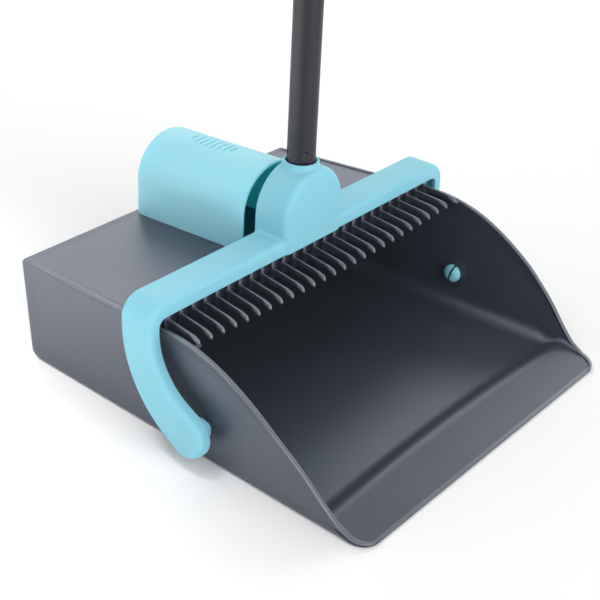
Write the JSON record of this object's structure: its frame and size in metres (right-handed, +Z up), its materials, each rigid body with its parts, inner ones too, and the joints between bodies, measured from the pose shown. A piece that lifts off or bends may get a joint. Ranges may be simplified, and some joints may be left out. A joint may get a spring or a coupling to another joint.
{
  "type": "upright dustpan",
  "caption": "Upright lobby dustpan: open-mouthed bin with a comb, hooded deck, and a jointed tubular handle on a swinging yoke.",
  "frame": {"origin": "middle of the footprint, on the floor", "axes": "+Z up along the upright handle; the open mouth and its lip face -Y, the closed bin is at +Y, and X runs across the pan along the hinge pins"},
  "size_m": [0.3512, 0.3447, 0.88],
  "materials": {
    "pan": "satin",
    "hood": "satin",
    "yoke": "satin",
    "tube": "satin",
    "insert": "matte",
    "coupler": "satin",
    "grip": "satin"
  },
  "bodies": {
    "pan": {"pan_body": "pan", "rear_hood": "hood"},
    "handle": {"yoke": "yoke", "lower_tube": "tube", "tube_plug": "insert", "lower_coupler": "coupler", "middle_tube": "tube", "upper_coupler": "coupler", "upper_tube": "tube", "grip": "grip"}
  },
  "joints": [
    {"name": "handle_swing", "type": "hinge", "parent": "pan", "child": "handle", "pos_m": [0, -0.0287, 0.032], "axis": [1, 0, 0], "range_deg": [0, 92]}
  ]
}
